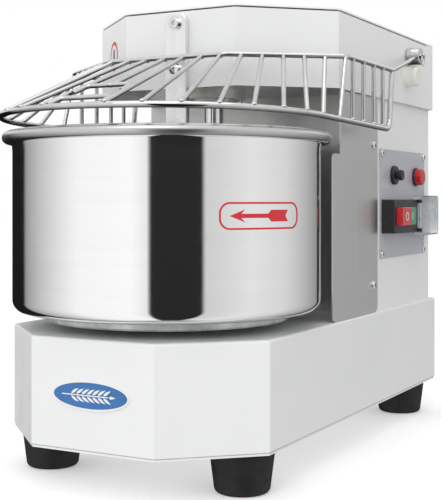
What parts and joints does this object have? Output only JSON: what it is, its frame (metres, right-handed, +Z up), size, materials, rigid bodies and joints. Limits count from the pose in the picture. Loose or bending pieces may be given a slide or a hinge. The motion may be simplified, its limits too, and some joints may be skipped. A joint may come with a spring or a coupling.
{
  "type": "spiral dough mixer",
  "caption": "Table-top spiral dough mixer with a turning bowl, spiral hook, breaker bar, hinged wire guard and side control panel.",
  "frame": {"origin": "centre of the overall box, on the surface that the rubber feet stand on", "axes": "+Z up, -Y towards the front where the bowl is, +X towards the side with the control panel"},
  "size_m": [0.393, 0.703, 0.5455],
  "materials": {
    "white_paint": "smooth semi-gloss powder coat",
    "polished_steel": "mirror-polished stainless",
    "bright_steel": "bright drawn and polished",
    "satin_steel": "satin, vertical grain",
    "grey_steel": "machined, oiled",
    "cast_metal": "cast and turned, greenish grey",
    "motor_aluminium": "die-cast",
    "panel_grey": "satin blue-grey",
    "black_rubber": "matte moulded",
    "black_plastic": "fine texture",
    "white_plastic": "smooth nylon",
    "red_plastic": "gloss",
    "green_plastic": "gloss",
    "red_lens": "ribbed translucent lens",
    "clear_plastic": "clear moulded"
  },
  "bodies": {
    "housing": {"base_plate": "white_paint", "base_shell": "white_paint", "bowl_bearing_housing": "cast_metal", "bowl_chain": "grey_steel", "breaker_bar": "satin_steel", "breaker_bar_bolts": "bright_steel", "cable_gland": "black_plastic", "column_front_plate": "satin_steel", "column_shell": "white_paint", "control_panel": "panel_grey", "cover_hinge_pin": "bright_steel", "drive_belt": "black_rubber", "flange_bolts": "bright_steel", "guard_bumpers": "white_plastic", "guard_hinge_pins": "bright_steel", "guard_safety_switch": "black_plastic", "head_base_plate": "grey_steel", "head_lid": "white_paint", "head_shell": "white_paint", "lid_screws": "bright_steel", "motor_body": "motor_aluminium", "motor_bracket": "grey_steel", "panel_screws": "bright_steel", "pilot_lamp_bezel": "black_plastic", "pilot_lamp_lens": "red_lens", "rear_cover": "white_paint", "rear_cover_screws": "bright_steel", "reduction_chain": "grey_steel", "reset_bezel": "black_plastic", "retaining_rings": "bright_steel", "rubber_feet": "black_rubber", "shaft_bearings": "cast_metal", "shield_screws": "bright_steel", "spiral_bearing_housing": "bright_steel", "spiral_chain": "grey_steel", "splash_shield": "satin_steel", "switch_housing": "black_plastic"},
    "bowl": {"bowl": "polished_steel", "turntable": "cast_metal", "bowl_shaft": "grey_steel", "bowl_sprocket": "grey_steel"},
    "spiral": {"spiral_shaft": "bright_steel", "spiral_hook": "bright_steel", "spiral_sprocket": "grey_steel"},
    "countershaft": {"countershaft": "grey_steel", "countershaft_pulley": "cast_metal", "countershaft_sprockets": "grey_steel"},
    "idler": {"idler_shaft": "grey_steel", "idler_sprockets": "grey_steel"},
    "motor_rotor": {"motor_shaft": "grey_steel", "motor_pulley": "cast_metal"},
    "guard": {"guard_upper_wire": "bright_steel", "guard_lower_wire": "bright_steel", "guard_bars": "bright_steel", "guard_feed_wires": "bright_steel", "guard_hinge_bosses": "bright_steel"},
    "reset_button": {"reset_button": "black_plastic"},
    "stop_button": {"stop_button": "red_plastic"},
    "start_button": {"start_button": "green_plastic"},
    "switch_cover": {"switch_cover": "clear_plastic"}
  },
  "joints": [
    {"name": "guard_hinge", "type": "hinge", "parent": "housing", "child": "guard", "pos_m": [0, 0.213, 0.513], "axis": [-1, 0, 0], "range_deg": [0, 75]},
    {"name": "spiral_spin", "type": "hinge", "parent": "housing", "child": "spiral", "pos_m": [0, -0.042, 0.1], "axis": [0, 0, -1], "continuous": true},
    {"name": "bowl_spin", "type": "hinge", "parent": "housing", "child": "bowl", "pos_m": [0, -0.155, 0.1], "axis": [0, 0, -1], "continuous": true},
    {"name": "countershaft_spin", "type": "hinge", "parent": "housing", "child": "countershaft", "pos_m": [0.05, 0.205, 0.1], "axis": [0, 0, -1], "continuous": true},
    {"name": "idler_spin", "type": "hinge", "parent": "housing", "child": "idler", "pos_m": [0, 0.03, 0.1], "axis": [0, 0, -1], "continuous": true},
    {"name": "motor_spin", "type": "hinge", "parent": "housing", "child": "motor_rotor", "pos_m": [-0.088, 0.205, 0.1], "axis": [0, 0, -1], "continuous": true},
    {"name": "reset_push", "type": "slide", "parent": "housing", "child": "reset_button", "axis": [-1, 0, 0], "range_m": [0, 0.003], "stiffness_N_per_m": 300},
    {"name": "stop_push", "type": "slide", "parent": "housing", "child": "stop_button", "axis": [-1, 0, 0], "range_m": [0, 0.004], "stiffness_N_per_m": 300},
    {"name": "start_push", "type": "slide", "parent": "housing", "child": "start_button", "axis": [-1, 0, 0], "range_m": [0, 0.004], "stiffness_N_per_m": 300},
    {"name": "cover_flip", "type": "hinge", "parent": "housing", "child": "switch_cover", "pos_m": [0.1865, 0.216, 0.2915], "axis": [0, 0, -1], "range_deg": [0, 182]}
  ],
  "couplings": [
    {"joint": "countershaft_spin", "follows": "spiral_spin", "ratio": 1.75},
    {"joint": "idler_spin", "follows": "spiral_spin", "ratio": 0.5},
    {"joint": "bowl_spin", "follows": "spiral_spin", "ratio": 0.092593},
    {"joint": "motor_spin", "follows": "spiral_spin", "ratio": 7.3531}
  ]
}
